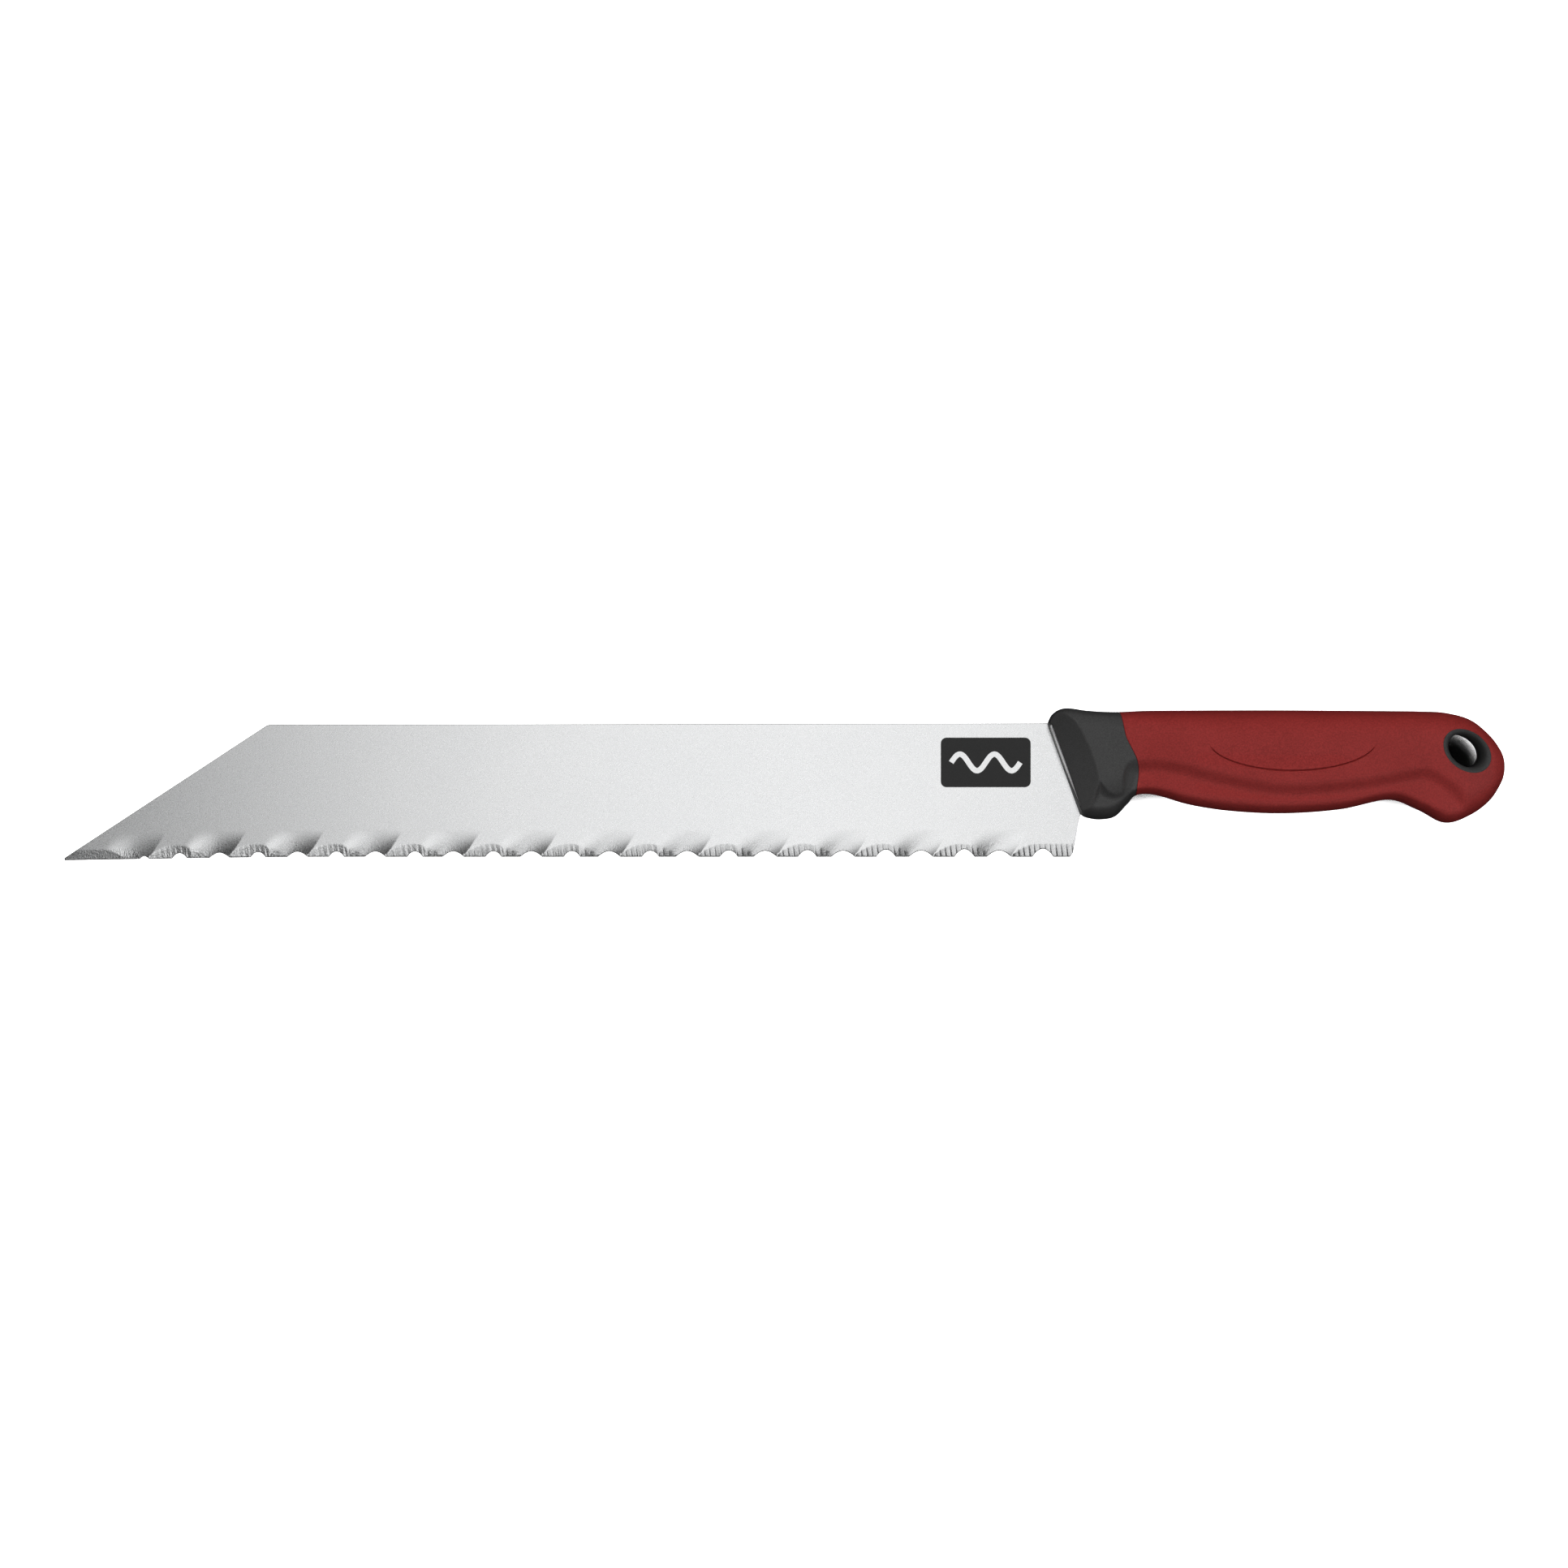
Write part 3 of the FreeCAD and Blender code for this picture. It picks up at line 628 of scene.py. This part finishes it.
def crease_depth(x, y):
    """The groove along the thumb pad's lower edge, fading out at both ends."""
    across = np.abs(x - PAD_CENTRE[0]) / PAD_HALF[0]
    along = 1 - smooth_step(0.92, 1.0, across)
    aside = np.abs(y - crease_line(x)) / CREASE_HALF_WIDTH
    return CREASE_DEPTH * along * np.clip(1 - aside, 0.0, 1.0)


def section_quarter(square, reach, half):
    """Evenly spaced shares across and through a quarter section, from the outline to the side."""
    corner = 0.5 ** (1 / square)
    flat = np.linspace(0.0, corner, 160)
    bent = (1 - flat ** square) ** (1 / square)
    across = np.concatenate([bent, flat[-2::-1]])
    deep = np.concatenate([flat, bent[-2::-1]])
    steps = np.hypot(np.diff(across) * reach, np.diff(deep) * half)
    return across, deep, np.concatenate([[0.0], np.cumsum(steps)])


def section_side(squares, reach, half, crease, count):
    """One side of a section from its upper to its lower outline, with points on the crease."""
    across, deep, length = section_quarter(squares[0], reach, half)
    low_across, low_deep, low_length = section_quarter(squares[1], reach, half)
    across = np.concatenate([across, -low_across[-2::-1]])
    deep = np.concatenate([deep, low_deep[-2::-1]])
    length = np.concatenate([length, length[-1] + low_length[-1] - low_length[-2::-1]])
    mark = np.interp(-crease, -across, length)
    near = CREASE_HALF_WIDTH * np.array([-2.0, -1.0, -0.5, 0.0, 0.5, 1.0, 2.0])
    upper = int(count * 0.5)
    places = np.concatenate([
        np.linspace(0.0, mark + near[0], upper)[:-1], mark + near,
        np.linspace(mark + near[-1], length[-1], count - upper)[1:]])
    return np.interp(places, length, across), np.interp(places, length, deep)


def handle_rings(places, count):
    """Rings of points round the handle at places counted in stations, as an array of rings."""
    upper = through([station[0] for station in STATIONS], places)
    lower = through([station[1] for station in STATIONS], places)
    half, *squares = through([station[2:] for station in STATIONS], places).T
    rings = []
    for top, bottom, thick, *corners in zip(upper, lower, half, *squares):
        middle, reach = (top + bottom) / 2, (top - bottom) / 2
        crease = (crease_line(middle[0]) - middle[1]) / reach[1]
        across, deep = section_side(corners, reach[1], thick, np.clip(crease, -0.5, 0.5), count)
        flat = middle + reach * across[:, None]
        side = np.column_stack([flat, deep * (thick + SIDE_ALLOWANCE)])
        rings.append(np.concatenate([side, side[-2:0:-1] * [1, 1, -1]]))
    rings = np.array(rings)
    x, y, z = rings[..., 0], rings[..., 1], rings[..., 2]
    swell = np.clip(np.abs(y - JOINT_SWELL_Y) / JOINT_SWELL_HALF, 0.0, 1.0)
    near_joint = np.exp(-((places - JOINT_STATION) / JOINT_SWELL_REACH) ** 2)
    x += JOINT_SWELL * np.cos(swell * math.pi / 2) ** 1.6 * near_joint[:, None]
    rounding = between(STEP_ROUNDING, smooth_step(*STEP_SOFTENS_X, x))
    height = soft_min(np.abs(z), level(x, y, half[:, None]), rounding)
    height = soft_min(height, np.maximum(facet_height(x, y), FACET_LOWEST), FACET_ROUNDING)
    height = height - crease_depth(x, y) * smooth_step(6.0, 9.0, height)
    rings[..., 2] = np.maximum(height, 0.0) * np.sign(z)
    return rings


def grid_tube(rings):
    """Points and faces of a tube through round rings, each end closed by one face."""
    count, around = rings.shape[:2]
    faces = grid_faces(count, around, close_columns=True)
    faces.append(tuple(range(around))[::-1])
    faces.append(tuple(range((count - 1) * around, count * around)))
    return rings.reshape(-1, 3), faces


def cap_faces(start, around):
    """Quads that close a ring by joining each point to its mirror image in the mid-plane."""
    faces = []
    for index in range(around // 2):
        left, left_next = start + index, start + index + 1
        right = start + (around - index) % around
        right_next = start + around - index - 1
        faces.append(tuple(dict.fromkeys((left, left_next, right_next, right))))
    return faces


def shell(rings):
    """Points and faces of a tube through handle sections, each end closed by quads."""
    count, around = rings.shape[:2]
    faces = grid_faces(count, around, close_columns=True)
    for ring in (0, count - 1):
        faces.extend(cap_faces(ring * around, around))
    return rings.reshape(-1, 3), faces


def shrunk(ring, size):
    """A ring drawn in by about size all round, to break the edge at the end of a piece."""
    centre = ring.mean(axis=0)
    scale = [1.0, 1 - size / 12, 1 - size / 11]
    return centre + (ring - centre) * scale


def make_front_part(material):
    """The black front part: a leaning front wall, then the sections back to the joint."""
    places = np.concatenate([np.linspace(0.0, JOINT_STATION - 0.03, 96), [JOINT_STATION]])
    rings = handle_rings(places, POINTS_PER_SIDE)
    foot = rings[0].copy()
    foot[:, 2] = np.clip(foot[:, 2], -WALL_FOOT, WALL_FOOT)
    wall = []
    for rise, lean in WALL_RINGS:
        ring = foot.copy()
        ring[:, 2] += (rings[0][:, 2] - foot[:, 2]) * rise
        ring[:, 0] += WALL_LEAN * lean
        wall.append(ring)
    rings[:, :, 0] += WALL_LEAN * np.exp(-places * 2.5)[:, None]
    rings[-1] = shrunk(rings[-1], JOINT_EDGE_BREAK)
    points, faces = shell(np.concatenate([np.array(wall), rings]))
    return make_object("front_part", points, faces, material, sharp_angle=40)


def make_bead(material):
    """The bead along the front part's edge on each side, thinner towards the guard, in a bright metal
    finish that is a painted highlight.
    """
    foot, head = [np.array(point) for point in STATIONS[0][:2]]
    share = np.linspace(BEAD_START, BEAD_END, 120)
    path = foot + (head - foot) * share[:, None] + [BEAD_SETBACK, 0.0]
    height = facet_height(path[:, 0], path[:, 1]) + BEAD_PROUD
    fatness = np.sqrt(np.clip((share - BEAD_START) / 0.03, 0.0, 1.0))
    fatness = fatness * (1 - smooth_step(BEAD_THINS, BEAD_END, share))
    radius = BEAD_RADIUS * fatness + 0.02
    along = (head - foot) / np.linalg.norm(head - foot)
    aside = np.array([-along[1], along[0]])
    around = 16
    angles = 2 * math.pi * np.arange(around) / around
    for side in (1, -1):
        centres = np.column_stack([path, side * height])
        rings = [centre + size * (np.cos(angles)[:, None] * np.append(aside, 0)
                                  + BEAD_FLATNESS * np.sin(angles)[:, None] * np.array([0, 0, 1]))
                 for centre, size in zip(centres, radius)]
        points, faces = grid_tube(np.array(rings))
        name = "front_bead_" + ("near" if side == 1 else "far")
        make_object(name, points, faces, material)


def make_cover(material):
    """The red cover, from the joint to the butt."""
    last = len(STATIONS) - 1
    places = np.concatenate([[JOINT_STATION], np.linspace(JOINT_STATION + 0.03, last, 330)])
    rings = handle_rings(places, POINTS_PER_SIDE)
    rings[0] = shrunk(rings[0], JOINT_EDGE_BREAK)
    points, faces = shell(rings)
    return make_object("grip_shell", points, faces, material, sharp_angle=50)


# ---------------------------------------------------------------- hanging eye

EYE_POINTS = 128

# Rings of the eye's rim, from its outside in: the share of the rim's width and the height over the
# cover.
EYE_PROFILE = [
    (1.0, -1.4), (1.0, -0.02), (0.96, 0.10), (0.80, 0.02), (0.45, -0.30), (0.12, -0.95), (0.0, -1.9),
    (0.0, -5.0),
]


def oval(half, angle):
    """A point in the plane on the turned oval round the eye's centre."""
    along = half[0] * math.cos(angle)
    across = half[1] * math.sin(angle)
    x = EYE_CENTRE[0] + along * math.cos(EYE_TURN) - across * math.sin(EYE_TURN)
    y = EYE_CENTRE[1] + along * math.sin(EYE_TURN) + across * math.cos(EYE_TURN)
    return x, y


def cut_oval_hole(piece, half):
    """Cut the oval way through a piece."""
    count = EYE_POINTS
    points = []
    for z in (-20.0, 20.0):
        points += [(*oval(half, 2 * math.pi * index / count), z) for index in range(count)]
    faces = [(index, (index + 1) % count, count + (index + 1) % count, count + index)
             for index in range(count)]
    faces.append(tuple(range(count))[::-1])
    faces.append(tuple(range(count, 2 * count)))
    mesh = bpy.data.meshes.new("eye_cutter")
    placed = (np.asarray(points) + np.array([0.0, 0.0, MID_HEIGHT])) * MM
    mesh.from_pydata(placed.tolist(), [], faces)
    cutter = bpy.data.objects.new("eye_cutter", mesh)
    bpy.context.scene.collection.objects.link(cutter)
    cut = piece.modifiers.new("eye", "BOOLEAN")
    cut.operation = "DIFFERENCE"
    cut.solver = "EXACT"
    cut.object = cutter
    bpy.context.view_layer.update()
    depsgraph = bpy.context.evaluated_depsgraph_get()
    result = bpy.data.meshes.new_from_object(piece.evaluated_get(depsgraph))
    piece.modifiers.clear()
    materials = list(piece.data.materials)
    piece.data = result
    if not result.materials:
        for material in materials:
            result.materials.append(material)
    result.shade_smooth()
    result.set_sharp_from_angle(angle=math.radians(50))
    bpy.data.objects.remove(cutter)


def make_eye(surface, material):
    """The black ring of the eye: a rounded rim on each side joined by the way's wall."""
    count = EYE_POINTS
    rows = []
    for side in (1, -1):
        heights = []
        for index in range(count):
            x, y = oval(EYE_RING * 1.02, 2 * math.pi * index / count)
            start = Vector((x, y, MID_HEIGHT + side * 30)) * MM
            hit = surface.ray_cast(start, Vector((0, 0, -side)))[0]
            heights.append((hit.z / MM - MID_HEIGHT) * side)
        profile = []
        for share, over in EYE_PROFILE:
            half = EYE_HOLE + (EYE_RING - EYE_HOLE) * share
            ring = []
            for index in range(count):
                x, y = oval(half, 2 * math.pi * index / count)
                ring.append((x, y, side * (heights[index] + over)))
            profile.append(ring)
        rows += profile if side == 1 else profile[::-1]
    points = [point for row in rows for point in row]
    faces = grid_faces(len(rows), count, close_columns=True)
    last = (len(rows) - 1) * count
    for index in range(count):
        right = (index + 1) % count
        faces.append((last + index, last + right, right, index))
    make_object("eye_ring", points, faces, material, sharp_angle=45)


# ---------------------------------------------------------------- printed badge

BADGE_CENTRE = (56.1, 6.0)
BADGE_HALF = (12.5, 6.9)
BADGE_CORNER = 1.6
INK_THICKNESS = 0.02
WAVE_HALF_LINE = 0.75
WAVE_SWING = 2.3
WAVE_HALF_SPAN = 9.6


def make_badge(ink, steel):
    """A plain rounded badge with a serpentine wave, printed on the blade."""
    outline = []
    for turn in range(4):
        sign_x = 1 if turn in (0, 3) else -1
        sign_y = 1 if turn in (0, 1) else -1
        centre_x = sign_x * (BADGE_HALF[0] - BADGE_CORNER)
        centre_y = sign_y * (BADGE_HALF[1] - BADGE_CORNER)
        for step in range(9):
            angle = math.pi / 2 * (turn + step / 8)
            outline.append((centre_x + BADGE_CORNER * math.cos(angle),
                            centre_y + BADGE_CORNER * math.sin(angle)))
    height = HALF_BLADE + INK_THICKNESS
    points = [(BADGE_CENTRE[0] + x, BADGE_CENTRE[1] + y, height) for x, y in outline]
    make_object("printed_badge", points, [tuple(range(len(points)))], ink)

    count = 160
    left, right = [], []
    for index in range(count + 1):
        x = WAVE_HALF_SPAN * (2 * index / count - 1)
        phase = x / WAVE_HALF_SPAN * 2 * math.pi
        slope = WAVE_SWING * math.cos(phase) * 2 * math.pi / WAVE_HALF_SPAN
        scale = WAVE_HALF_LINE / math.hypot(1, slope)
        middle_x, middle_y = BADGE_CENTRE[0] + x, BADGE_CENTRE[1] + WAVE_SWING * math.sin(phase)
        left.append((middle_x - slope * scale, middle_y + scale, height + INK_THICKNESS))
        right.append((middle_x + slope * scale, middle_y - scale, height + INK_THICKNESS))
    faces = grid_faces(2, count + 1)
    make_object("printed_wave", left + right, faces, steel)


# ---------------------------------------------------------------- stage, light and camera

FLOOR_HALF = 6.0
CAMERA_DISTANCE = 1.2
FRAME_WIDTH = 0.43631
SENSOR_WIDTH = 36.0

# The sky's grey at heights from near the horizon to straight overhead, as the sine of the elevation.
SKY_STOPS = ((0.12, 0.02), (0.30, 0.45), (0.58, 0.45), (0.75, 0.008), (1.0, 0.008))

# The fills, one on each side: name, X and Y in metres, and watts.
FILLS = (
    ("fill_right", 1.5, 0.0, 28.0), ("fill_left", -1.5, 0.0, 26.0),
    ("fill_back", 0.0, 1.5, 38.0), ("fill_front", 0.0, -1.5, 9.0),
)
FILL_HEIGHT = 1.8
FILL_SIZE = (1.8, 0.9)


def make_floor(material):
    """A plain sheet that is lit but lights nothing, so no glare climbs the handle's edges."""
    corners = [(x * FLOOR_HALF, y * FLOOR_HALF, 0) for x, y in ((-1, -1), (1, -1), (1, 1), (-1, 1))]
    mesh = bpy.data.meshes.new("floor")
    mesh.from_pydata(corners, [], [(0, 1, 2, 3)])
    floor = bpy.data.objects.new("floor", mesh)
    mesh.materials.append(material)
    bpy.context.scene.collection.objects.link(floor)
    floor.visible_diffuse = False
    floor.visible_glossy = False


def add_area(name, place, target, size, power):
    """A rectangular lamp at a place, aimed at a target. Sizes in metres, power in watts."""
    light = bpy.data.lights.new(name, "AREA")
    light.shape = "RECTANGLE"
    light.size, light.size_y = size
    light.energy = power
    lamp = bpy.data.objects.new(name, light)
    lamp.location = place
    direction = Vector(target) - Vector(place)
    lamp.rotation_euler = direction.to_track_quat("-Z", "Y").to_euler()
    bpy.context.scene.collection.objects.link(lamp)
    return lamp


def make_sky():
    """A sky that is dark but for a pale band low down, for steel seen from the side to mirror."""
    world = bpy.data.worlds.new("studio")
    world.use_nodes = True
    nodes, links = world.node_tree.nodes, world.node_tree.links
    place = nodes.new("ShaderNodeTexCoord")
    split = nodes.new("ShaderNodeSeparateXYZ")
    band = nodes.new("ShaderNodeValToRGB")
    stops = band.color_ramp.elements
    stops[0].position = SKY_STOPS[0][0]
    for position, _ in SKY_STOPS[1:-1]:
        stops.new(position)
    for stop, (_, grey) in zip(stops, SKY_STOPS):
        stop.color = (grey, grey, grey, 1.0)
    links.new(place.outputs["Generated"], split.inputs["Vector"])
    links.new(split.outputs["Z"], band.inputs["Fac"])
    links.new(band.outputs["Color"], nodes["Background"].inputs["Color"])
    world.cycles_visibility.diffuse = False
    bpy.context.scene.world = world


def light_scene():
    """An overhead panel that shows only in reflections, and fills that never do."""
    make_sky()
    reflector = add_area("reflector", (0.03, 0.1, 1.9), (0.03, 0.1, 0.0), (0.84, 1.6), 5.4)
    reflector.visible_diffuse = False
    for name, x, y, power in FILLS:
        fill = add_area(name, (x, y, FILL_HEIGHT), (0.0, 0.0, 0.0), FILL_SIZE, power)
        fill.visible_glossy = False


def add_camera():
    """Straight above the middle of the knife, looking down."""
    camera_data = bpy.data.cameras.new("camera")
    camera_data.sensor_width = SENSOR_WIDTH
    camera_data.lens = SENSOR_WIDTH * CAMERA_DISTANCE / FRAME_WIDTH
    camera = bpy.data.objects.new("camera", camera_data)
    camera.location = (0.0, 0.0, MID_HEIGHT * MM + CAMERA_DISTANCE)
    bpy.context.scene.collection.objects.link(camera)
    bpy.context.scene.camera = camera


# ---------------------------------------------------------------- build

steel = blade_steel()
black = black_plastic()
red = red_elastomer()
ink = print_ink()

blade = make_blade(steel)
front = make_front_part(black)
make_bead(painted_highlight_edge())
cover = make_cover(red)
graph = bpy.context.evaluated_depsgraph_get()
cover_surface = BVHTree.FromObject(cover, graph)
make_eye(cover_surface, black)
cut_oval_hole(cover, EYE_RING)
make_badge(ink, steel)
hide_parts("blade")
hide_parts("handle_core")
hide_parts("grip_cover")

make_floor(plain_floor())
light_scene()
add_camera()
bpy.context.scene.view_settings.view_transform = "Standard"
